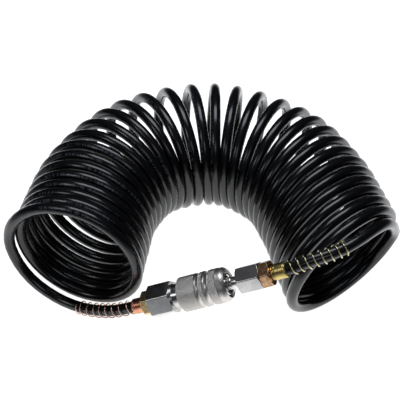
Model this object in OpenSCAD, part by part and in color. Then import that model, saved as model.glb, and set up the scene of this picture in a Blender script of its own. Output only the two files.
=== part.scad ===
// Spiral (recoil) air hose: about thirty turns of polyurethane tube laid as a horseshoe,
// with its two ends joined in front by a one-touch coupler, a socket and its plug.
// Lengths are in millimetres and angles in degrees, with +Z up and the floor at z = 0.
// The coupler's parts are turned about one axis, and u is the distance along that axis
// from the socket's hose end towards the plug.

/* [Hose] */
// Outer diameter of the hose
hose_d = 8; // [6:0.5:10]
// Outer diameter of the coil of hose
coil_d = 98; // [92:1:102]
// First turn that the coil's outer shape holds, counted from the turn at the back
coil_first_turn = -14.6; // [-15:0.1:-12]
// Last turn that the coil's outer shape holds
coil_last_turn = 13.9; // [12:0.1:14.2]

/* [Coupler] */
// Rise of the coupler's axis towards the plug
chain_tilt = 26; // [22:1:30]
// Turn of the coupler's axis about Z
chain_turn = -6.5; // [-9:0.5:-4]
// Outer diameter of the knurled sleeve
sleeve_d = 24; // [23:0.5:26]
// Width across the flats of the socket's hexagon
socket_af = 21; // [20:0.5:22]
// Width across the flats of the plug's hexagon
plug_af = 17; // [16:0.5:18]
// Width across the flats of each hose stud's hexagon
stud_af = 16; // [15:0.5:17]
// Outer diameter of the plug's body, inside the socket
plug_d = 11.2; // [11:0.1:11.3]
// Radial gap of a running fit
run_gap = 0.05; // [0.03:0.01:0.08]
// Diameter of each locking ball
ball_d = 3; // [2.8:0.1:3]
// Number of locking balls
ball_count = 6; // [4:1:6]

/* [Hose ends] */
// Outer diameter of each ferrule
ferrule_d = 10.8; // [10.4:0.2:11.6]
// Outer diameter of each spring guard
guard_d = 10.8; // [10.4:0.1:11.2]
// Wire thickness of each spring guard
guard_wire = 0.9; // [0.8:0.1:1.1]
// Number of turns in each spring guard
guard_turns = 8; // [7:0.5:11]
// Length of the left spring guard along the hose
guard_left_length = 52; // [46:1:54]
// Length of the right spring guard along the hose
guard_right_length = 41.5; // [38:0.5:46]

/* [Hidden] */

// Place of the coupler's axis at u = 0, where the hose stud meets the socket
chain_start = [-36, -3.4, 33];
// The coupler's axis as a unit vector
chain_axis = [cos(chain_tilt) * cos(chain_turn), cos(chain_tilt) * sin(chain_turn), sin(chain_tilt)];

// Where the main faces lie along the coupler's axis
ferrule_left_end = -14.5;
stud_left_face = -6;
thread_length = 11;
socket_hex_end = 17;
neck_end = 24;
body_start = 24;
body_end = 57;
sleeve_start = 23;
sleeve_end = 57.5;
ball_u = 47;
plug_tip = 38;
plug_hex_start = 65;
plug_hex_end = 81;
stud_right_end = 88;
ferrule_right_end = 98;

// Main radii of the coupler
neck_r = 8.8;
body_r = 7.7;
thread_r = 5.55;
land_r = body_r + run_gap;
recess_r = 9;
spring_room_r = 9.7;
ball_r = ball_d / 2;
ball_seat_r = land_r - ball_r - 0.03;
tip_r = 4;
air_r = 2.6;
barb_bore_r = 1.8;
spigot_r = 6.6;
spigot_end = 30;

// Stations of the coil's centre line, four turns apart: [x, y, heading, forward lean]
coil_stations = [
    [-95, -17.5, 68.5, 0.5], [-90.5, 16, 70, -1.5], [-86.5, 50, 71.5, -3.5], [-77, 92, 62.5, -4],
    [-47, 134.5, 35.5, -3.5], [9, 150, -3, -1.5], [58, 123, -38, 1.5], [80, 82, -53.5, 5.5],
    [90, 43, -55.5, 10], [98.5, 4.5, -51, 15.5], [106.5, -33.5, -46, 21]];
station_turns = 4;
first_station_turn = -20;

// Free hose between the left ferrule and the coil's left mouth
tail_left_route = [
    [-63, 2, 18], [-76, 9, 9.8], [-89, 15.5, 5.2], [-103, 22.5, 4.4], [-116, 29, 8], [-127, 34, 16],
    [-135, 38, 28], [-139, 40, 43], [-138, 40, 56], [-133, 37, 69], [-123, 34, 81],
    [-111, 30, 89], [-98, 25, 93], [-84, 20, 92.5]];
// Free hose between the right ferrule and the coil's right mouth
tail_right_route = [
    [60, -13, 80], [70, -12, 84], [80, -10, 87], [90, -6, 89], [100, 1, 90], [111, 11, 89],
    [122, 23, 82], [129, 33, 71], [132, 41, 57], [131, 46, 43]];
// Sideways directions that the rings of each tail are built from; the hose never runs along them
tail_left_side = [0.32, 0.95, 0];
tail_right_side = [0.6, -0.8, 0];
tail_sides = 10;

smooth = 64;
coil_sides = 24;

// ---- vectors and curves ----

function unit(v) = v / norm(v);
function on_chain(u) = chain_start + u * chain_axis;
// Point at t, from 0 to 1, on the smooth curve from b to c, which comes from a and goes on to d
function blend4(a, b, c, d, t) =
    0.5 * (2 * b + (c - a) * t + (2 * a - 5 * b + 4 * c - d) * t * t + (3 * b - a - 3 * c + d) * t * t * t);
// Point at place s on the curve through all the points but the first and last; s = 1 is the second point
function on_curve(points, s) =
    let (i = min(max(floor(s), 1), len(points) - 3))
    blend4(points[i - 1], points[i], points[i + 1], points[i + 2], s - i);
function curve_points(points, steps) =
    [for (i = [1 : len(points) - 3]) for (k = [0 : steps - 1]) on_curve(points, i + k / steps),
        points[len(points) - 2]];
function along(points, i) =
    unit(points[min(i + 1, len(points) - 1)] - points[max(i - 1, 0)]);
function across(tangent, side) = unit(side - (side * tangent) * tangent);

// Length from the curve's start to each of its points
function lengths(points) =
    [for (i = 0, total = 0; i < len(points);
        i = i + 1, total = total + (i < len(points) ? norm(points[i] - points[i - 1]) : 0)) total];
// First index of the span that holds distance s
function span_at(total, s, i = 0) = (i >= len(total) - 2 || total[i + 1] >= s) ? i : span_at(total, s, i + 1);
function point_at(points, total, s) =
    let (i = span_at(total, s), k = (s - total[i]) / (total[i + 1] - total[i]))
    points[i] * (1 - k) + points[i + 1] * k;

// Closed solid through a list of rings, each a list of the same number of points
module skin(rings) {
    n = len(rings[0]);
    m = len(rings);
    sides = [for (j = [0 : m - 2]) for (i = [0 : n - 1])
        let (a = j * n + i, b = j * n + (i + 1) % n)
        each [[a, a + n, b + n], [a, b + n, b]]];
    caps = [for (i = [1 : n - 2]) each [[0, i, i + 1], [(m - 1) * n, (m - 1) * n + i + 1, (m - 1) * n + i]]];
    polyhedron(points = [for (ring = rings) for (p = ring) p], faces = concat(sides, caps), convexity = 10);
}

// Round tube of radius r along a list of points
module tube(points, r, side, sides) {
    skin([for (i = [0 : len(points) - 1])
        let (t = along(points, i), a = across(t, side), b = cross(t, a))
        [for (k = [0 : sides - 1]) points[i] - r * (cos(360 * k / sides) * a + sin(360 * k / sides) * b)]]);
}

// Spring of round wire wound about the origin's Z axis
module wire_spring(length, mean_r, wire, turns) {
    steps = ceil(turns * 14);
    sides = 6;
    skin([for (i = [0 : steps])
        let (a = 360 * turns * i / steps, out = [cos(a), sin(a), 0],
            p = mean_r * out + [0, 0, wire / 2 + (length - wire) * i / steps],
            t = unit([-sin(a), cos(a), (length - wire) / (2 * PI * mean_r * turns)]), b = cross(t, out))
        [for (k = [0 : sides - 1]) p - wire / 2 * (cos(360 * k / sides) * out + sin(360 * k / sides) * b)]]);
}

// ---- placing and turning ----

// Puts what is turned about Z on the coupler's axis; Z becomes u
module on_axis(u = 0) {
    translate(chain_start) rotate([0, -chain_tilt, chain_turn]) rotate([0, 90, 0]) translate([0, 0, u]) children();
}
// Solid of revolution about the coupler's axis, from [u, radius] points
module turned(profile) {
    on_axis() rotate_extrude($fn = smooth) polygon([for (p = profile) [p[1], p[0]]]);
}
// Hexagonal bar whose corners are rounded off at both ends, as on a spanner nut
module hexagon(from, to, across_flats, roll = 0) {
    corner_r = across_flats / sqrt(3);
    end_r = corner_r - 1.2;
    edge = 0.8;
    back = (corner_r * corner_r - end_r * end_r + edge * edge) / (2 * edge);
    crown_r = sqrt(end_r * end_r + back * back);
    on_axis() intersection() {
        translate([0, 0, from]) rotate(roll) cylinder(h = to - from, r = corner_r, $fn = 6);
        translate([0, 0, to - back]) sphere(r = crown_r, $fn = smooth);
        translate([0, 0, from + back]) sphere(r = crown_r, $fn = smooth);
    }
}
// Ring of round cord about the coupler's axis
module o_ring(u, mean_r, cord) {
    on_axis(u) rotate_extrude($fn = smooth) translate([mean_r, 0]) circle(d = cord, $fn = 24);
}

// ---- routes of the hose ----

tail_left_start = stud_left_face - 0.3;
tail_right_start = stud_right_end + 1.5;
tail_left_points = curve_points(concat([on_chain(8), on_chain(tail_left_start), on_chain(ferrule_left_end)],
    tail_left_route, [[-70, 16, 87]]), 3);
tail_right_points = curve_points(concat([on_chain(75), on_chain(tail_right_start), on_chain(ferrule_right_end)],
    tail_right_route, [[127, 48, 30]]), 3);

// [centre, left, up] of the coil's turn t
function coil_frame(t) =
    let (s = on_curve(coil_stations, (t - first_station_turn) / station_turns),
        ahead = [cos(s[2]), sin(s[2]), 0], left = [-sin(s[2]), cos(s[2]), 0])
    [[s[0], s[1], coil_d / 2 * cos(s[3])], left, ahead * sin(s[3]) + [0, 0, cos(s[3])]];

// ---- hose ----

module hose_coil() {
    sections = 30;
    color([0.05, 0.05, 0.06]) skin([for (j = [0 : sections])
        let (f = coil_frame(coil_first_turn + (coil_last_turn - coil_first_turn) * j / sections))
        [for (k = [0 : coil_sides - 1])
            f[0] + coil_d / 2 * (cos(360 * k / coil_sides) * f[1] - sin(360 * k / coil_sides) * f[2])]]);
}
module hose_tail_left() {
    color([0.05, 0.05, 0.06]) tube(tail_left_points, hose_d / 2, tail_left_side, tail_sides);
}
module hose_tail_right() {
    color([0.05, 0.05, 0.06]) tube(tail_right_points, hose_d / 2, tail_right_side, tail_sides);
}

// Spring that follows the hose from place start on its route
module spring_guard(points, side, start, length) {
    total = lengths(points);
    steps = ceil(guard_turns * 14);
    mean_r = (guard_d - guard_wire) / 2;
    wire_points = [for (i = [0 : steps])
        let (s = start + guard_wire / 2 + (length - guard_wire) * i / steps,
            p = point_at(points, total, s),
            t = unit(point_at(points, total, s + 1) - point_at(points, total, s - 1)),
            a = across(t, side), b = cross(t, a), turn = 360 * guard_turns * i / steps)
        p + mean_r * (cos(turn) * a + sin(turn) * b)];
    centres = [for (i = [0 : steps])
        point_at(points, total, start + guard_wire / 2 + (length - guard_wire) * i / steps)];
    skin([for (i = [0 : steps])
        let (t = along(wire_points, i), a = across(t, wire_points[i] - centres[i]), b = cross(t, a))
        [for (k = [0 : 5]) wire_points[i] - guard_wire / 2 * (cos(60 * k) * a + sin(60 * k) * b)]]);
}
module spring_guard_left() {
    color([0.75, 0.45, 0.32])
        spring_guard(tail_left_points, tail_left_side, tail_left_start - ferrule_left_end, guard_left_length);
}
module spring_guard_right() {
    color([0.72, 0.62, 0.28])
        spring_guard(tail_right_points, tail_right_side, ferrule_right_end - tail_right_start, guard_right_length);
}

// Crimped sleeve around the hose's end
module ferrule(from, to, inner) {
    r = ferrule_d / 2;
    turned([[from, inner], [from, r - 0.6], [from + 0.6, r], [to - 0.6, r], [to, r - 0.6], [to, inner]]);
}
module ferrule_left() {
    color([0.78, 0.5, 0.38]) ferrule(ferrule_left_end, stud_left_face, hose_d / 2 + run_gap);
}
module ferrule_right() {
    color([0.74, 0.66, 0.3]) ferrule(tail_right_start, ferrule_right_end, hose_d / 2 + run_gap);
}

// Male stud and barb in one piece, on the hose end that doesn't turn
module hose_stud_left() {
    barb_r = 2.5;
    barb_start = -18;
    color([0.85, 0.68, 0.38]) difference() {
        union() {
            hexagon(stud_left_face, 0, stud_af, 34);
            turned([[-1, 0], [-1, thread_r], [thread_length - 1, thread_r], [thread_length, thread_r - 0.8],
                [thread_length, 0]]);
            turned([[barb_start, 0], [barb_start, barb_r - 0.3], [-15, barb_r + 0.2], [-15, barb_r],
                [-12, barb_r + 0.2], [-12, barb_r], [stud_left_face + 1, barb_r], [stud_left_face + 1, 0]]);
        }
        turned([[barb_start - 1, 0], [barb_start - 1, barb_bore_r], [thread_length + 1, barb_bore_r],
            [thread_length + 1, 0]]);
    }
}

// ---- socket ----

module socket_adapter() {
    pocket_r = 4.9;
    color([0.42, 0.43, 0.44]) difference() {
        union() {
            hexagon(0, socket_hex_end, socket_af, 36);
            turned([[socket_hex_end - 1, 0], [socket_hex_end - 1, neck_r], [neck_end - 0.5, neck_r],
                [neck_end, neck_r - 0.5], [neck_end, spigot_r], [spigot_end, spigot_r], [spigot_end, 0]]);
        }
        turned([[-1, 0], [-1, thread_r + run_gap], [thread_length + 0.5, thread_r + run_gap],
            [thread_length + 0.5, 3], [15, 3], [15, pocket_r], [spigot_end + 1, pocket_r], [spigot_end + 1, 0]]);
    }
}

module socket_body() {
    bore_r = plug_d / 2 + run_gap;
    color([0.72, 0.72, 0.7]) difference() {
        turned([[body_start, 0], [body_start, 9.4], [26.5, 9.4], [26.5, body_r], [54.8, body_r],
            [54.8, body_r - 0.5], [56, body_r - 0.5], [56, body_r], [body_end - 0.4, body_r],
            [body_end, body_r - 0.4], [body_end, 0]]);
        turned([[body_start - 1, 0], [body_start - 1, spigot_r + run_gap], [30.8, spigot_r + run_gap], [30.8, 5.8],
            [35, 5.8], [35, 3.95], [37.9, 3.95], [37.9, 6.2], [40.5, 6.2], [40.5, bore_r],
            [body_end - 0.5, bore_r], [body_end + 0.5, bore_r + 0.8], [body_end + 0.5, 0]]);
        for (i = [0 : ball_count - 1])
            on_axis(ball_u) rotate([0, 90, 360 * (i + 0.5) / ball_count])
                cylinder(h = body_r + 2, r = ball_r + 0.03, $fn = smooth);
    }
}

module adapter_seal() {
    color([0.08, 0.08, 0.08]) on_axis(spigot_end) rotate_extrude($fn = smooth)
        polygon([[5.8, 0.05], [spigot_r, 0.05], [spigot_r, 0.75], [5.8, 0.75]]);
}

// Knurled sleeve: drawn back against its spring, it lets the balls out of the plug's groove
module sleeve() {
    r = sleeve_d / 2;
    groove = 1.1;
    color([0.7, 0.7, 0.68]) turned([
        [sleeve_start, spring_room_r], [sleeve_start, r - 0.8], [sleeve_start + 0.8, r],
        [36.5, r], [36.5, r - groove], [39.6, r - groove], [39.6, r], [42.5, r],
        [42.5, r - groove], [46.2, r - groove], [46.2, r], [52.2, r], [52.4, r - 0.35],
        [55.2, r - 0.35], [sleeve_end, r - 2.2], [sleeve_end, 9.3], [54.8, 9.3], [54.8, land_r + 0.2],
        [53.4, land_r + 0.2], [53.4, recess_r], [49.9, recess_r], [49.4, land_r], [43.5, land_r],
        [43.5, spring_room_r]]);
}

module sleeve_spring() {
    color([0.6, 0.6, 0.6]) on_axis(26.6) wire_spring(16.8, 8.75, 1.1, 5.5);
}

module snap_ring() {
    gap = 25;
    color([0.5, 0.5, 0.5]) on_axis(54.85) rotate(gap / 2) rotate_extrude(angle = 360 - gap, $fn = smooth)
        polygon([[body_r - 0.45, 0], [recess_r, 0], [recess_r, 1.1], [body_r - 0.45, 1.1]]);
}

module locking_balls() {
    color([0.75, 0.75, 0.76]) for (i = [0 : ball_count - 1])
        on_axis(ball_u) rotate([0, 0, 360 * (i + 0.5) / ball_count]) translate([ball_seat_r, 0, 0])
            sphere(r = ball_r, $fn = smooth);
}

// Check valve: the plug's tip holds it open, and its spring shuts it
module valve_poppet() {
    color([0.8, 0.66, 0.36]) difference() {
        turned([[28.6, 0], [28.6, 4.3], [29.6, 4.7], [31, 4.7], [31, 3.4], [plug_tip - 0.1, 3.4],
            [plug_tip - 0.1, 2.2], [32.4, 2.2], [31.8, 0]]);
        for (a = [0, 90]) on_axis(34.1) rotate([0, 90, a]) cylinder(h = 12, r = 1.1, center = true, $fn = 32);
    }
}

module valve_seal() {
    color([0.08, 0.08, 0.08]) o_ring(31.9, 4.3, 1.7);
}

module valve_spring() {
    color([0.6, 0.6, 0.6]) on_axis(15.05) wire_spring(13.5, 4.2, 0.7, 6);
}

module plug_seal() {
    color([0.08, 0.08, 0.08]) on_axis(37.95) rotate_extrude($fn = smooth)
        polygon([[tip_r + run_gap, 0], [6.15, 0], [6.15, 2.5], [tip_r + 0.5, 2.5], [tip_r + run_gap, 2]]);
}

// ---- plug ----

module plug_body() {
    r = plug_d / 2;
    stem_r = 3.9;
    groove_r = 4.62;
    color([0.45, 0.46, 0.47]) difference() {
        union() {
            turned([[plug_tip, 0], [plug_tip, tip_r - 0.4], [plug_tip + 0.4, tip_r], [42, tip_r], [43.6, r],
                [ball_u - 1.75, r], [ball_u - 0.7, groove_r], [ball_u + 0.7, groove_r], [ball_u + 1.75, r],
                [53, r], [54.5, stem_r + 0.5], [59.5, stem_r + 0.5], [60, stem_r], [plug_hex_start + 1, stem_r],
                [plug_hex_start + 1, 0]]);
            hexagon(plug_hex_start, plug_hex_end, plug_af, 50);
        }
        turned([[plug_tip - 1, 0], [plug_tip - 1, air_r], [69.5, air_r], [69.5, thread_r + run_gap],
            [plug_hex_end + 1, thread_r + run_gap], [plug_hex_end + 1, 0]]);
    }
}

// Stud that screws into the plug and holds the hose's barb so that it can turn
module swivel_stud_right() {
    seat_r = 4.6;
    lip_r = 3.45;
    color([0.62, 0.42, 0.3]) difference() {
        union() {
            turned([[70, 0], [70, thread_r - 0.8], [71, thread_r], [plug_hex_end + 1, thread_r],
                [plug_hex_end + 1, 0]]);
            hexagon(plug_hex_end, stud_right_end, stud_af, 52);
        }
        turned([[69, 0], [69, air_r], [79.5, air_r], [79.5, seat_r], [86.4, seat_r], [86.4, lip_r],
            [stud_right_end + 1, lip_r], [stud_right_end + 1, 0]]);
    }
}

module swivel_seal() {
    color([0.08, 0.08, 0.08]) o_ring(80.6, 3.7, 1.7);
}

module hose_barb_right() {
    barb_r = 2.5;
    collar = stud_right_end + 0.4;
    barb_end = 100;
    color([0.8, 0.66, 0.36]) turned([
        [81.6, barb_bore_r], [81.6, 4.5], [86.3, 4.5], [86.3, 3.3], [collar, 3.3], [collar, 5],
        [tail_right_start, 5], [tail_right_start, barb_r], [94, barb_r + 0.2], [94, barb_r], [97, barb_r + 0.2],
        [97, barb_r], [barb_end, barb_r - 0.3], [barb_end, barb_bore_r]]);
}

hose_coil();
hose_tail_left();
hose_tail_right();
spring_guard_left();
spring_guard_right();
ferrule_left();
ferrule_right();
hose_stud_left();
socket_adapter();
socket_body();
adapter_seal();
sleeve();
sleeve_spring();
snap_ring();
locking_balls();
valve_poppet();
valve_seal();
valve_spring();
plug_seal();
plug_body();
swivel_stud_right();
swivel_seal();
hose_barb_right();
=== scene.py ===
import math

import bpy
import numpy as np
from mathutils import Matrix, Vector


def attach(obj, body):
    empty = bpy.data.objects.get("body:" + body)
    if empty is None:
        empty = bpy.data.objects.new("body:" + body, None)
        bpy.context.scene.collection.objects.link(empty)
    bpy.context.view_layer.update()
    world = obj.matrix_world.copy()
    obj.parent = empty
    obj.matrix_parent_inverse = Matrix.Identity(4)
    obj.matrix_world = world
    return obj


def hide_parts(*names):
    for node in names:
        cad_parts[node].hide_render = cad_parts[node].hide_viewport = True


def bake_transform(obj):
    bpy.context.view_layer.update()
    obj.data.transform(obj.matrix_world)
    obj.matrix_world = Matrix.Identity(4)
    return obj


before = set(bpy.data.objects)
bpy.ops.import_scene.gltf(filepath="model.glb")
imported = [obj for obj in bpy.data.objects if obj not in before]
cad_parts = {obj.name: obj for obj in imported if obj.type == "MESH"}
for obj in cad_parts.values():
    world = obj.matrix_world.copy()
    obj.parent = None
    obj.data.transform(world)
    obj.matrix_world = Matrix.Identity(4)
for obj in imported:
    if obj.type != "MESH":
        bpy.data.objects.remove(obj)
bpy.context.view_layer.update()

MM = 0.001
HOSE_R = 4.0
COIL_R = 45.0  # radius of the hose's centre line in the coil

# ---------------------------------------------------------------- camera

camera = bpy.data.objects.new("camera", bpy.data.cameras.new("camera"))
bpy.context.collection.objects.link(camera)
camera.location = (-0.004, -0.3876, 0.471)
camera.rotation_euler = (math.radians(48.12), 0, 0)
camera.data.sensor_width = 36
camera.data.lens = 76.3
camera.data.clip_start = 0.01
bpy.context.scene.camera = camera
bpy.context.scene.view_settings.view_transform = "Standard"

# ---------------------------------------------------------------- the coupler's axis

TILT, TURN = math.radians(26), math.radians(-6.5)
CHAIN = (Matrix.Translation(Vector((-36, -3.4, 33)) * MM) @ Matrix.Rotation(TURN, 4, "Z")
         @ Matrix.Rotation(-TILT, 4, "Y") @ Matrix.Rotation(math.pi / 2, 4, "Y"))


def on_chain(u):
    """Point of the coupler's axis, in millimetres."""
    return np.array(CHAIN @ Vector((0, 0, u * MM))) / MM


# ---------------------------------------------------------------- the hose's route, as in the part, in mm

# Stations of the coil's centre line, four turns apart: x, y, heading and forward lean in degrees.
# All but the first and last, and most tail points, are rounded results of a least-squares fit to
# the photo. They weren't chosen by hand.
FIRST_STATION_TURN, STATION_TURNS = -20, 4
COIL_STATIONS = np.array([
    [-95, -17.5, 68.5, 0.5], [-90.5, 16, 70, -1.5], [-86.5, 50, 71.5, -3.5], [-77, 92, 62.5, -4],
    [-47, 134.5, 35.5, -3.5], [9, 150, -3, -1.5], [58, 123, -38, 1.5], [80, 82, -53.5, 5.5],
    [90, 43, -55.5, 10], [98.5, 4.5, -51, 15.5], [106.5, -33.5, -46, 21]], float)
TAIL_LEFT = [
    [-63, 2, 18], [-76, 9, 9.8], [-89, 15.5, 5.2], [-103, 22.5, 4.4], [-116, 29, 8], [-127, 34, 16],
    [-135, 38, 28], [-139, 40, 43], [-138, 40, 56], [-133, 37, 69], [-123, 34, 81], [-111, 30, 89]]
TAIL_RIGHT = [
    [60, -13, 80], [70, -12, 84], [80, -10, 87], [90, -6, 89], [100, 1, 90], [111, 11, 89], [122, 23, 82]]
FIRST_TURN, SEAM_TURN, LAST_TURN = -15.03, 14.74, 14.83


def on_curve(points, s):
    """Catmull-Rom curve through points, at place s counted in points."""
    i = int(min(max(math.floor(s), 1), len(points) - 3))
    t = s - i
    a, b, c, d = (np.asarray(points[k], float) for k in (i - 1, i, i + 1, i + 2))
    square, cube = 2 * a - 5 * b + 4 * c - d, 3 * b - a - 3 * c + d
    return 0.5 * (2 * b + (c - a) * t + square * t ** 2 + cube * t ** 3)


def coil_point(turn):
    """Point on the coil and the direction out of the coil there."""
    x, y, heading, lean = on_curve(COIL_STATIONS, (turn - FIRST_STATION_TURN) / STATION_TURNS)
    h, e = math.radians(heading), math.radians(lean)
    left = np.array([-math.sin(h), math.cos(h), 0])
    up = np.array([math.cos(h) * math.sin(e), math.sin(h) * math.sin(e), math.cos(e)])
    phi = math.radians(90 + 360 * turn)
    out = math.cos(phi) * left + math.sin(phi) * up
    return np.array([x, y, (COIL_R + HOSE_R) * math.cos(e)]) + COIL_R * out, out


def catmull(points, steps):
    """The curve from the second point to the last but one, in steps to each stretch."""
    places = [i + k / steps for i in range(1, len(points) - 2) for k in range(steps)]
    return [on_curve(points, place) for place in places] + [points[-2]]


def unit(v):
    return v / np.linalg.norm(v)


def even_angles(count):
    return np.linspace(0, 2 * math.pi, count, endpoint=False)


def rings_along(points, radius, sides, first_side, sides_wanted=None):
    """Rings of a tube along points. first_side is carried along without twist, or set by sides_wanted."""
    points = np.asarray(points, float)
    tangents = np.gradient(points, axis=0)
    tangents /= np.linalg.norm(tangents, axis=1)[:, None]
    side, rings = np.asarray(first_side, float), []
    angles = even_angles(sides)
    for i, (p, t) in enumerate(zip(points, tangents)):
        if sides_wanted is not None and sides_wanted[i] is not None:
            side = sides_wanted[i]
        side = unit(side - side.dot(t) * t)
        b = np.cross(t, side)
        rings.append(p + radius * (np.cos(angles)[:, None] * side + np.sin(angles)[:, None] * b))
    return np.array(rings)


def length_of(points):
    return float(np.linalg.norm(np.diff(np.asarray(points), axis=0), axis=1).sum())


# ---------------------------------------------------------------- meshes


def make(name, verts, faces, uvs, body, material, sharp, replaces):
    """A piece whose vertices are in millimetres in the row frame. Without a body it is left unattached."""
    mesh = bpy.data.meshes.new(name)
    mesh.from_pydata((np.asarray(verts, float) * MM).tolist(), [], faces)
    mesh.validate()
    layer = mesh.uv_layers.new(name="UVMap")
    layer.data.foreach_set("uv", np.asarray(uvs, np.float32).ravel())
    mesh.shade_smooth()
    mesh.set_sharp_from_angle(angle=math.radians(sharp))
    mesh.materials.append(material)
    piece = bpy.data.objects.new(name, mesh)
    bpy.context.collection.objects.link(piece)
    if body:
        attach(piece, body)
    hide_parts(*replaces)
    return piece


def tube(name, rings, body, material, replaces, start_v=0.0):
    """Closed tube through rings. UV is once round in u, and millimetres along in v."""
    m, n = rings.shape[:2]
    centres = rings.mean(axis=1)
    v_at = start_v + np.concatenate([[0], np.cumsum(np.linalg.norm(np.diff(centres, axis=0), axis=1))])
    faces, uvs = [], []
    for j in range(m - 1):
        for i in range(n):
            k = (i + 1) % n
            faces.append((j * n + k, (j + 1) * n + k, (j + 1) * n + i, j * n + i))
            a, b = i / n, (i + 1) / n
            uvs += [(b, v_at[j]), (b, v_at[j + 1]), (a, v_at[j + 1]), (a, v_at[j])]
    faces.append(tuple(range(n))[::-1])
    uvs += [(0, v_at[0])] * n
    faces.append(tuple((m - 1) * n + i for i in range(n)))
    uvs += [(0, v_at[-1])] * n
    return make(name, rings.reshape(-1, 3), faces, uvs, body, material, 50, replaces)


def soften(profile, radius):
    """Rounds the corners of a closed [u, r] outline."""
    out, n, steps = [], len(profile), 3
    for i in range(n):
        a, p, b = (np.array(profile[k % n][:2], float) for k in (i - 1, i, i + 1))
        la, lb = np.linalg.norm(a - p), np.linalg.norm(b - p)
        turn = math.acos(max(-1, min(1, (p - a).dot(b - p) / max(la * lb, 1e-9))))
        if turn < math.radians(15):
            out.append(p)
            continue
        cut = min(radius, 0.4 * la, 0.4 * lb)
        s, e = p + (a - p) / la * cut, p + (b - p) / lb * cut
        for k in range(steps + 1):
            t = k / steps
            out.append((1 - t) ** 2 * s + 2 * t * (1 - t) * p + t ** 2 * e)
    return out


def filled(profile, spans, step):
    """Adds points, step apart, to the stretches of a closed outline inside spans (from, to, least r)."""
    out, n, slack = [], len(profile), 0.3
    for i in range(n):
        a, b = np.array(profile[i], float), np.array(profile[(i + 1) % n], float)
        out.append(a)
        for lo, hi, least in spans:
            inside = min(a[0], b[0]) >= lo - slack and max(a[0], b[0]) <= hi + slack
            if inside and abs(a[0] - b[0]) > step and min(a[1], b[1]) >= least:
                count = int(round(abs(b[0] - a[0]) / step))
                out += [a + (b - a) * k / count for k in range(1, count)]
                break
    return out


def turned(name, profile, body, material, theta, shape, sharp, node):
    """Closed outline of [u, r] turned about the coupler's axis. shape(u, r, theta) gives the radii."""
    n, m = len(theta), len(profile)
    local = np.zeros((m, n, 3))
    for j, (u, r) in enumerate(profile):
        radii = shape(u, r, theta)
        local[j, :, 0], local[j, :, 1], local[j, :, 2] = radii * np.cos(theta), radii * np.sin(theta), u
    matrix = np.array(CHAIN)
    world = local.reshape(-1, 3) @ matrix[:3, :3].T + matrix[:3, 3] / MM
    outline = np.array(list(profile) + [profile[0]], float)
    lengths = np.linalg.norm(np.diff(outline, axis=0), axis=1)
    v_at = np.concatenate([[0], np.cumsum(lengths)])
    faces, uvs = [], []
    for j in range(m):
        nxt = (j + 1) % m
        for i in range(n):
            k = (i + 1) % n
            a, b = i / n, (i + 1) / n
            faces.append((j * n + i, j * n + k, nxt * n + k, nxt * n + i))
            uvs += [(a, v_at[j]), (b, v_at[j]), (b, v_at[j + 1]), (a, v_at[j + 1])]
    make(name, world, faces, uvs, body, material, sharp, (node,))


def hex_angles(roll):
    """Angles round a hexagon, close together near its corners."""
    face = [0, 0.7, 1.5, 3, 7, 13, 20, 26, 30, 34, 40, 47, 53, 57, 58.5, 59.3]
    return np.radians([roll + 60 * k + d for k in range(6) for d in face])


CORNER_OFF = 0.16  # taken off each corner of a hexagon
CROWN, CROWN_DROP, CROWN_SLOPE = 0.8, 1.2, 1.5  # length, depth and slope of its turned ends
HEX_EDGE = 0.15  # how far its end faces' edge lies inside its flats


def hexagonal(lo, hi, af, roll):
    """Radius rule for a bar that is a hexagon from lo to hi, af across its flats."""
    corner = af / math.sqrt(3)

    def shape(u, r, theta):
        if not (lo - 1e-6 <= u <= hi + 1e-6 and r > af / 2 * 0.99):
            return np.full(len(theta), float(r))
        off = (np.degrees(theta) - roll) % 60 - 30
        flat = af / 2 / np.cos(np.radians(off))
        radii = np.minimum(flat, min(r, corner - CORNER_OFF))
        end = min(u - lo, hi - u)
        if end < CROWN:
            radii = np.minimum(radii, corner - CROWN_DROP + CROWN_SLOPE * end)
        return radii
    return shape


def hex_side(lo, hi, af):
    """Outline of a hexagon's outside, with rings close together where its corners are turned off."""
    corner, edge = af / math.sqrt(3), af / 2 - HEX_EDGE
    ends = [0, 0.04, 0.12, 0.2, 0.3, 0.4, 0.5, 0.6, 0.7, CROWN]
    side = [[lo, edge]] + [[lo + e, corner] for e in ends] + [[(lo + hi) / 2, corner]]
    return side + [[hi - e, corner] for e in ends[::-1]] + [[hi, edge]]


# ---------------------------------------------------------------- materials


def nodes_of(name):
    material = bpy.data.materials.new(name)
    material.use_nodes = True
    tree = material.node_tree
    shader = tree.nodes["Principled BSDF"]
    return material, tree, shader


def noise(tree, scale, detail, coords="Object", stretch=(1, 1, 1)):
    where = tree.nodes.new("ShaderNodeTexCoord")
    mapping = tree.nodes.new("ShaderNodeMapping")
    mapping.inputs["Scale"].default_value = stretch
    texture = tree.nodes.new("ShaderNodeTexNoise")
    texture.inputs["Scale"].default_value = scale
    texture.inputs["Detail"].default_value = detail
    texture.inputs["Roughness"].default_value = 0.55
    tree.links.new(where.outputs[coords], mapping.inputs["Vector"])
    tree.links.new(mapping.outputs["Vector"], texture.inputs["Vector"])
    return texture.outputs["Fac"]


def ramp(tree, factor, stops):
    node = tree.nodes.new("ShaderNodeValToRGB")
    while len(node.color_ramp.elements) < len(stops):
        node.color_ramp.elements.new(0.5)
    for element, (place, colour) in zip(node.color_ramp.elements, stops):
        element.position = place
        element.color = (*colour, 1)
    tree.links.new(factor, node.inputs["Fac"])
    return node.outputs["Color"]


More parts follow.
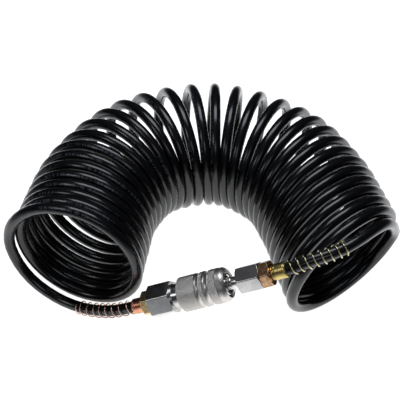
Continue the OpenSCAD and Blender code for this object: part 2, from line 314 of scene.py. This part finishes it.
def map_range(tree, value, from_min, from_max, to_min, to_max):
    node = tree.nodes.new("ShaderNodeMapRange")
    node.inputs["From Min"].default_value = from_min
    node.inputs["From Max"].default_value = from_max
    node.inputs["To Min"].default_value = to_min
    node.inputs["To Max"].default_value = to_max
    tree.links.new(value, node.inputs["Value"])
    return node.outputs["Result"]


def spread(tree, factor, low, high):
    """Noise keeps near its middle, so that part of it is spread from low to high."""
    return map_range(tree, factor, 0.3, 0.7, low, high)


def calculate(tree, operation, first, second=None):
    """A Math node on a socket and, where given, a second socket or a number."""
    node = tree.nodes.new("ShaderNodeMath")
    node.operation = operation
    tree.links.new(first, node.inputs[0])
    if isinstance(second, float):
        node.inputs[1].default_value = second
    elif second is not None:
        tree.links.new(second, node.inputs[1])
    return node.outputs[0]


def bump(tree, shader, height, strength, distance):
    node = tree.nodes.new("ShaderNodeBump")
    node.inputs["Strength"].default_value = strength
    node.inputs["Distance"].default_value = distance
    previous = shader.inputs["Normal"].links[0].from_socket if shader.inputs["Normal"].links else None
    if previous is not None:
        tree.links.new(previous, node.inputs["Normal"])
    tree.links.new(height, node.inputs["Height"])
    tree.links.new(node.outputs["Normal"], shader.inputs["Normal"])


def metal(name, stops, rough=(0.2, 0.3), grain=2500, mottle=160, strength=0.15):
    material, tree, shader = nodes_of(name)
    shader.inputs["Metallic"].default_value = 1
    colour = ramp(tree, noise(tree, mottle, 4), stops)
    tree.links.new(colour, shader.inputs["Base Color"])
    fine = noise(tree, grain, 2)
    tree.links.new(spread(tree, fine, *rough), shader.inputs["Roughness"])
    bump(tree, shader, fine, strength, 0.00004)
    return material


def hose_material():
    material, tree, shader = nodes_of("polyurethane_black")
    shader.inputs["IOR"].default_value = 1.5
    cloud = noise(tree, 60, 3)
    base = ramp(tree, cloud, [(0.3, (0.0015, 0.0016, 0.002)), (0.7, (0.003, 0.0033, 0.004))])
    # a faint row of short marks along the hose, as the printing on such a hose leaves
    where = tree.nodes.new("ShaderNodeTexCoord")
    split = tree.nodes.new("ShaderNodeSeparateXYZ")
    tree.links.new(where.outputs["UV"], split.inputs["Vector"])
    off_row = calculate(tree, "SUBTRACT", split.outputs["X"], 0.12)
    band = map_range(tree, calculate(tree, "ABSOLUTE", off_row), 0.042, 0.034, 0, 1)
    ticks = noise(tree, 1.0, 1, "UV", (3, 0.9, 1))
    groups = noise(tree, 1.0, 0, "UV", (0.01, 0.013, 1))
    tick = ramp(tree, ticks, [(0.5, (0, 0, 0)), (0.56, (1, 1, 1))])
    group = ramp(tree, groups, [(0.5, (0, 0, 0)), (0.52, (1, 1, 1))])
    mask = calculate(tree, "MULTIPLY", calculate(tree, "MULTIPLY", tick, group), band)
    mix = tree.nodes.new("ShaderNodeMix")
    mix.data_type = "RGBA"
    tree.links.new(mask, mix.inputs["Factor"])
    tree.links.new(base, mix.inputs["A"])
    mix.inputs["B"].default_value = (0.05, 0.052, 0.062, 1)
    tree.links.new(mix.outputs["Result"], shader.inputs["Base Color"])
    streak = noise(tree, 1.0, 2, "UV", (26, 0.03, 1))
    tree.links.new(spread(tree, streak, 0.16, 0.24), shader.inputs["Roughness"])
    bump(tree, shader, streak, 0.12, 0.0002)
    bump(tree, shader, noise(tree, 900, 2), 0.05, 0.0001)
    return material


HOSE = hose_material()
ADAPTER = metal("nickel_plate_worn", [(0.3, (0.46, 0.46, 0.45)), (0.7, (0.60, 0.59, 0.57))],
                rough=(0.16, 0.26), grain=1800, mottle=220, strength=0.25)
SLEEVE = metal("satin_nickel", [(0.3, (0.54, 0.52, 0.49)), (0.7, (0.66, 0.63, 0.59))],
               rough=(0.3, 0.4), mottle=90, strength=0.1)
BRIGHT = metal("bright_nickel", [(0.3, (0.70, 0.69, 0.67)), (0.7, (0.80, 0.79, 0.77))],
               rough=(0.08, 0.14), mottle=90, strength=0.05)
PLUG = metal("plug_steel", [(0.3, (0.55, 0.54, 0.53)), (0.7, (0.70, 0.68, 0.65))],
             rough=(0.16, 0.26), grain=2200, mottle=200, strength=0.25)
# painted light: the left stud's brass is painted pale and mottled, standing in for strong light on it
BRASS_LEFT_PAINTED_LIGHT = metal("brass_pale_painted_light", [(0.35, (0.62, 0.42, 0.16)), (0.5, (0.80, 0.60, 0.30)),
                                  (0.7, (0.88, 0.74, 0.48))],
                   rough=(0.2, 0.35), grain=1500, mottle=500, strength=0.4)
BRASS_RIGHT = metal("brass_brown", [(0.3, (0.30, 0.16, 0.09)), (0.5, (0.50, 0.30, 0.17)),
                                    (0.7, (0.68, 0.46, 0.28))],
                    rough=(0.2, 0.35), grain=1500, mottle=400, strength=0.4)
INNER_BRASS = metal("brass_clean", [(0.3, (0.62, 0.44, 0.17)), (0.7, (0.75, 0.56, 0.26))])
ZINC_LEFT = metal("zinc_pink_gold", [(0.3, (0.50, 0.19, 0.15)), (0.5, (0.66, 0.30, 0.18)),
                                     (0.7, (0.80, 0.46, 0.20))],
                  rough=(0.2, 0.32), mottle=130, strength=0.2)
ZINC_RIGHT = metal("zinc_green_gold", [(0.3, (0.40, 0.36, 0.10)), (0.5, (0.62, 0.48, 0.16)),
                                       (0.7, (0.74, 0.56, 0.24))],
                   rough=(0.2, 0.32), mottle=130, strength=0.2)
WIRE_LEFT = metal("wire_pink_gold", [(0.3, (0.58, 0.34, 0.28)), (0.7, (0.80, 0.56, 0.44))],
                  rough=(0.15, 0.25), mottle=300, strength=0.1)
WIRE_RIGHT = metal("wire_green_gold", [(0.3, (0.58, 0.52, 0.28)), (0.7, (0.80, 0.74, 0.48))],
                   rough=(0.15, 0.25), mottle=300, strength=0.1)
SPRING_STEEL = metal("spring_steel", [(0.3, (0.42, 0.42, 0.43)), (0.7, (0.55, 0.55, 0.56))])


def rubber_material():
    material, tree, shader = nodes_of("nitrile_rubber")
    colour = ramp(tree, noise(tree, 400, 3), [(0.3, (0.012, 0.012, 0.012)), (0.7, (0.03, 0.03, 0.03))])
    tree.links.new(colour, shader.inputs["Base Color"])
    tree.links.new(spread(tree, noise(tree, 900, 2), 0.5, 0.65), shader.inputs["Roughness"])
    bump(tree, shader, noise(tree, 2500, 2), 0.2, 0.00005)
    return material


RUBBER = rubber_material()

# ---------------------------------------------------------------- hose

# places on the coupler's axis: the hose's two ends, and the outer end of each ferrule
left_start, right_start = -6.3, 89.5
ferrule_left_end, ferrule_right_end = -14.5, 98
# turns between two points on the coil, steps from point to point, and sides of the hose
turn_step = 1 / 22
STEPS = 2
HOSE_SIDES = 24
turns = list(np.arange(FIRST_TURN, LAST_TURN + 1e-6, turn_step))
control = [on_chain(8), on_chain(left_start), on_chain(ferrule_left_end)]
control += [np.array(p, float) for p in TAIL_LEFT]
first_helix = len(control)
control += [coil_point(t)[0] for t in turns]
control += [np.array(p, float) for p in TAIL_RIGHT[::-1]]
control += [on_chain(ferrule_right_end), on_chain(right_start), on_chain(75)]
line = catmull(control, STEPS)
wanted = [None] * len(line)
for k, t in enumerate(turns):
    for step in range(STEPS):
        if k + 1 < len(turns) or step == 0:
            wanted[(first_helix - 1 + k) * STEPS + step] = coil_point(t + step * turn_step / STEPS)[1]
# the tails carry the coil's own side on, without twist
first_known = next(i for i, w in enumerate(wanted) if w is not None)
rings_left = rings_along(line[:first_known + 1][::-1], HOSE_R, HOSE_SIDES, wanted[first_known])[::-1]
rings_rest = rings_along(line[first_known:], HOSE_R, HOSE_SIDES, wanted[first_known], wanted[first_known:])
# the left part ran backwards, so its rings turn the other way
rings_left = rings_left[:, (-np.arange(HOSE_SIDES)) % HOSE_SIDES]
rings = np.concatenate([rings_left[:-1], rings_rest])
seam = (first_helix - 1 + min(range(len(turns)), key=lambda k: abs(turns[k] - SEAM_TURN))) * STEPS
line = np.array(line)

hose_main = tube("hose_main", rings[:seam + 1], "socket", HOSE,
                 replaces=("hose_coil", "hose_tail_left"))
hose_lead = tube("hose_lead", rings[seam:], None, HOSE, replaces=("hose_tail_right",),
                 start_v=length_of(line[:seam + 1]))
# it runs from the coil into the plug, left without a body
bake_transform(hose_lead)

# ---------------------------------------------------------------- spring guards

WIRE_R, GUARD_R, GUARD_TURNS = 0.45, 4.95, 8.6  # GUARD_R is to the middle of the wire
WIRE_STEPS, WIRE_SIDES = 32, 12  # points in each turn of wire, and round the wire
OUTER_PITCH = 0.6  # pitch of the last turn, against the others
FIRST_CLOSED, FIRST_PITCH = 0.7, 0.35  # turns by the ferrule that lie closer, and how close they start


def guard(name, points, start, length, body, material, node, side, phase):
    """Wire spring round the hose, from place start on its line, with its outer turn drawn up close."""
    points = np.asarray(points, float)
    along = np.concatenate([[0], np.cumsum(np.linalg.norm(np.diff(points, axis=0), axis=1))])
    count, full = int(GUARD_TURNS * WIRE_STEPS), GUARD_TURNS - 1
    centre_line, outs = [], []

    def place(s):
        return np.array([np.interp(s, along, points[:, k]) for k in range(3)])

    for i in range(count + 1):
        n = GUARD_TURNS * i / count
        share = (min(n, full) + OUTER_PITCH * max(n - full, 0)) / (full + OUTER_PITCH)
        if n < FIRST_CLOSED:
            share *= FIRST_PITCH + (1 - FIRST_PITCH) * n / FIRST_CLOSED
        s = start + WIRE_R + (length - 2 * WIRE_R) * share
        p, t = place(s), unit(place(s + 0.8) - place(s - 0.8))
        a = unit(side - side.dot(t) * t)
        b = np.cross(t, a)
        angle = 2 * math.pi * n + phase
        out = math.cos(angle) * a + math.sin(angle) * b
        centre_line.append(p + GUARD_R * out)
        outs.append(out)
    wire_rings = rings_along(centre_line, WIRE_R, WIRE_SIDES, outs[0], outs)
    tube(name, wire_rings, body, material, replaces=(node,))


# each guard starts where its ferrule ends, counted along the hose from its own end
left_in_ferrule = length_of([on_chain(left_start), on_chain(ferrule_left_end)])
right_in_ferrule = length_of([on_chain(right_start), on_chain(ferrule_right_end)])
guard("guard_wire_left", line, left_in_ferrule, 52, "socket", WIRE_LEFT,
      "spring_guard_left", np.array([0.32, 0.95, 0]), 0.6)
guard("guard_wire_right", line[::-1], right_in_ferrule, 41.5, "hose_end", WIRE_RIGHT,
      "spring_guard_right", np.array([0.6, -0.8, 0]), 0.3)

# ---------------------------------------------------------------- ferrules

# each hexagon: where it starts and ends on the axis, its width across flats and its roll
STUD_LEFT, SOCKET_HEX = (-6, 0, 16, 34), (0, 17, 21, 36)
PLUG_HEX, STUD_RIGHT = (65, 81, 17, 50), (81.02, 88, 16, 52)


FERRULE_R, FERRULE_BORE = 5.4, 4.05
CRIMP_COUNT, CRIMP_PITCH, CRIMP_DEPTH, CRIMP_MARGIN = 36, 0.94, 0.07, 1.6


def diamonds(count, pitch, u, theta):
    """Two crossing sets of slanting lines round the axis: 0 on a line, up to 1 between lines."""
    round_it, along_it = count * theta / (2 * math.pi), u / pitch
    p, q = (round_it + along_it) % 1, (round_it - along_it) % 1
    return np.minimum(1 - np.abs(2 * p - 1), 1 - np.abs(2 * q - 1))


def ferrule(name, lo, hi, body, material, node):
    """Crimped shell from lo to hi, with a ring groove near each end."""
    r, inner = FERRULE_R, FERRULE_BORE
    crimp_lo, crimp_hi, least = lo + CRIMP_MARGIN, hi - CRIMP_MARGIN, FERRULE_R - 0.1
    outline = [[lo, inner], [lo, r - 0.5], [lo + 0.25, r - 0.1], [lo + 0.6, r]]
    outline += [[lo + 1.2, r], [lo + 1.35, r - 0.12], [lo + 1.5, r]]
    outline += [[hi - 1.5, r], [hi - 1.35, r - 0.12], [hi - 1.2, r]]
    outline += [[hi - 0.6, r], [hi - 0.25, r - 0.1], [hi, r - 0.5], [hi, inner]]

    def crimp(u, rad, theta):
        radii = np.full(len(theta), float(rad))
        if rad > least and crimp_lo < u < crimp_hi:
            between = diamonds(CRIMP_COUNT, CRIMP_PITCH, u, theta)
            radii -= CRIMP_DEPTH * np.clip(1 - 2.5 * between, 0, 1)
        return radii
    profile = filled(soften(outline, 0.1), [(crimp_lo, crimp_hi, least)], 0.16)
    turned(name, profile, body, material, even_angles(216), crimp, 40, node)


ferrule("ferrule_shell_left", ferrule_left_end, STUD_LEFT[0],
        "socket", ZINC_LEFT, "ferrule_left")
ferrule("ferrule_shell_right", right_start, ferrule_right_end,
        "hose_end", ZINC_RIGHT, "ferrule_right")

# ---------------------------------------------------------------- hexagons and turned pieces

THREAD, THREAD_PITCH, THREAD_DEPTH = 5.55, 0.9, 0.3  # THREAD is the outer radius


def threads(lo, hi):
    """Outline of a threaded stretch, cut as rings."""
    out, u = [], lo
    while u + THREAD_PITCH <= hi:
        out += [[u + 0.1, THREAD], [u + THREAD_PITCH * 0.5, THREAD - THREAD_DEPTH]]
        out += [[u + THREAD_PITCH - 0.1, THREAD]]
        u += THREAD_PITCH
    return out


def hex_piece(name, outline, body, material, hexagon, node):
    """Turned piece whose outline holds hex_side of hexagon."""
    theta, shape = hex_angles(hexagon[3]), hexagonal(*hexagon)
    turned(name, outline, body, material, theta, shape, 30, node)


stud = [[-18, 1.8], [-18, 2.2], [-15, 2.7], [-15, 2.5], [-12, 2.7], [-12, 2.5], [-6, 2.5]]
stud += hex_side(*STUD_LEFT[:3]) + [[0, THREAD - 0.3]] + threads(0.3, 10.4)
stud += [[11, THREAD - 0.8], [11, 1.8]]
hex_piece("stud_left", stud, "socket", BRASS_LEFT_PAINTED_LIGHT, STUD_LEFT, "hose_stud_left")

adapter = [[11.5, 3], [11.5, 5.6], [0.5, 5.6], [0, 6.1]] + hex_side(*SOCKET_HEX[:3])
adapter += [[17, 9.0], [17.2, 8.8], [23.5, 8.8], [24, 8.3]]
adapter += [[24, 6.6], [30, 6.6], [30, 4.9], [15, 4.9], [15, 3]]
hex_piece("socket_hexagon", adapter, "socket", ADAPTER, SOCKET_HEX, "socket_adapter")

plug = [[38, 2.6], [38, 3.6], [38.15, 3.85], [38.4, 4], [42, 4], [43.4, 5.45], [43.8, 5.6]]
plug += [[45.25, 5.6], [45.45, 5.45], [46.1, 4.75], [46.4, 4.62]]
plug += [[47.6, 4.62], [47.9, 4.75], [48.55, 5.45], [48.75, 5.6]]
plug += [[52.7, 5.6], [53.1, 5.5], [54.4, 4.5], [54.7, 4.4]]
plug += [[59.3, 4.4], [59.6, 4.3], [60, 3.95], [60.3, 3.9], [65, 3.9]]
plug += hex_side(*PLUG_HEX[:3]) + [[81, 6.1], [80.5, 5.6], [69.5, 5.6], [69.5, 2.6]]
hex_piece("plug_hexagon", plug, "plug", PLUG, PLUG_HEX, "plug_body")

swivel = [[70, 2.6], [70, 4.75]] + threads(70.4, 80.8) + [[81, THREAD - 0.3]]
swivel += hex_side(*STUD_RIGHT[:3]) + [[88, 3.45], [86.4, 3.45], [86.4, 4.6], [79.5, 4.6], [79.5, 2.6]]
hex_piece("swivel_stud", swivel, "plug", BRASS_RIGHT, STUD_RIGHT, "swivel_stud_right")

# ---------------------------------------------------------------- knurled sleeve

R = 12.0  # outer radius of the sleeve
KNURL = [(23.9, 36.3), (39.8, 42.3), (46.4, 52.0)]  # its three knurled bands
KNURL_COUNT, KNURL_PITCH, KNURL_DEPTH, KNURL_RAISE = 54, 1.4, 0.3, 0.03


def groove(lo, hi):
    """Outline of a flat-bottomed groove round the sleeve."""
    side = [(0, 0.05), (0.1, 0.2), (0.35, 1.0), (0.5, 1.1)]  # in from its edge, and deep
    return [[lo + e, R - deep] for e, deep in side] + [[hi - e, R - deep] for e, deep in side[::-1]]


sleeve = [[23, 9.7], [23, R - 0.9], [23.3, R - 0.35], [23.8, R - 0.05]]
sleeve += groove(36.4, 39.7) + groove(42.4, 46.3)
sleeve += [[52.1, R - 0.05], [52.25, R - 0.35], [52.4, R - 0.4], [55.1, R - 0.4], [55.35, R - 0.5]]
sleeve += [[57.3, R - 2.1], [57.5, R - 2.3], [57.5, 9.5], [57.3, 9.3], [54.8, 9.3], [54.8, 7.95]]
sleeve += [[53.4, 7.95], [53.4, 9], [49.9, 9], [49.4, 7.75], [43.5, 7.75], [43.5, 9.7]]


def knurl(u, r, theta):
    radii = np.full(len(theta), float(r))
    if r > R - 0.1:
        for lo, hi in KNURL:
            if lo - 0.05 <= u <= hi + 0.05:
                height = diamonds(KNURL_COUNT, KNURL_PITCH, u, theta)
                radii = radii - KNURL_DEPTH * (1 - np.clip(1.5 * height, 0, 1)) + KNURL_RAISE
    return radii


knurled = filled(sleeve, [(lo, hi, R - 0.1) for lo, hi in KNURL], 0.175)
turned("knurled_sleeve", knurled, "sleeve", SLEEVE, even_angles(432), knurl, 60, "sleeve")

# ---------------------------------------------------------------- CAD pieces that stay as they are


def dress(node, material):
    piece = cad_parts[node]
    if not piece.material_slots:
        piece.data.materials.append(material)
    for place in piece.material_slots:
        place.material = material


for material, nodes in (
        (BRIGHT, ("socket_body", "locking_balls")),
        (SPRING_STEEL, ("sleeve_spring", "snap_ring", "valve_spring")),
        (INNER_BRASS, ("valve_poppet", "hose_barb_right")),
        (RUBBER, ("adapter_seal", "valve_seal", "plug_seal", "swivel_seal"))):
    for node in nodes:
        dress(node, material)

# ---------------------------------------------------------------- floor, world and lights


def floor():
    mesh = bpy.data.meshes.new("floor")
    s = 4.0  # half its side, in metres
    mesh.from_pydata([(-s, -s, 0), (s, -s, 0), (s, s, 0), (-s, s, 0)], [], [(0, 1, 2, 3)])
    material, tree, shader = nodes_of("floor_white_glowing")
    colour = ramp(tree, noise(tree, 3, 2), [(0.3, (0.86, 0.86, 0.86)), (0.7, (0.9, 0.9, 0.9))])
    tree.links.new(colour, shader.inputs["Base Color"])
    shader.inputs["Roughness"].default_value = 0.6
    # painted light: the floor glows by emission, full round the object and almost none farther out, by
    # distance in metres
    where = tree.nodes.new("ShaderNodeTexCoord")
    away = tree.nodes.new("ShaderNodeVectorMath")
    away.operation = "DISTANCE"
    away.inputs[1].default_value = (0, 0.26, 0)
    tree.links.new(where.outputs["Object"], away.inputs[0])
    painted_glow = map_range(tree, away.outputs["Value"], 0.35, 0.44, 1.0, 0.04)
    tree.links.new(painted_glow, shader.inputs["Emission Strength"])
    shader.inputs["Emission Color"].default_value = (1, 1, 1, 1)
    mesh.materials.append(material)
    piece = bpy.data.objects.new("floor", mesh)
    bpy.context.collection.objects.link(piece)
    piece.location = (0, 0, -0.0002)


floor()

world = bpy.data.worlds.new("studio")
bpy.context.scene.world = world
world.use_nodes = True
wt = world.node_tree
background = wt.nodes["Background"]
where = wt.nodes.new("ShaderNodeTexCoord")
axes = wt.nodes.new("ShaderNodeSeparateXYZ")
wt.links.new(where.outputs["Generated"], axes.inputs["Vector"])
sky = ramp(wt, axes.outputs["Z"], [(0.0, (0.03, 0.03, 0.032)), (0.5, (0.035, 0.036, 0.04)),
                                   (1.0, (0.10, 0.102, 0.11))])
wt.links.new(sky, background.inputs["Color"])
background.inputs["Strength"].default_value = 1.0


def area(name, place, aim, size, energy, colour):
    light = bpy.data.lights.new(name, "AREA")
    light.shape = "RECTANGLE"
    light.size, light.size_y = size
    light.energy = energy
    light.color = colour
    lamp = bpy.data.objects.new(name, light)
    bpy.context.collection.objects.link(lamp)
    lamp.location = place
    lamp.rotation_euler = (Vector(aim) - Vector(place)).to_track_quat("-Z", "Y").to_euler()


area("softbox_top", (0, 0.25, 0.85), (0, 0.06, 0.04), (0.6, 0.4), 3.4, (0.88, 0.92, 1))
area("softbox_front", (0, -1.1, 0.9), (0, 0.06, 0.04), (0.7, 0.4), 1.3, (0.8, 0.87, 1))
area("softbox_left", (-0.66, -0.33, 0.58), (0, 0, 0.05), (0.22, 0.22), 0.6, (0.95, 0.97, 1))
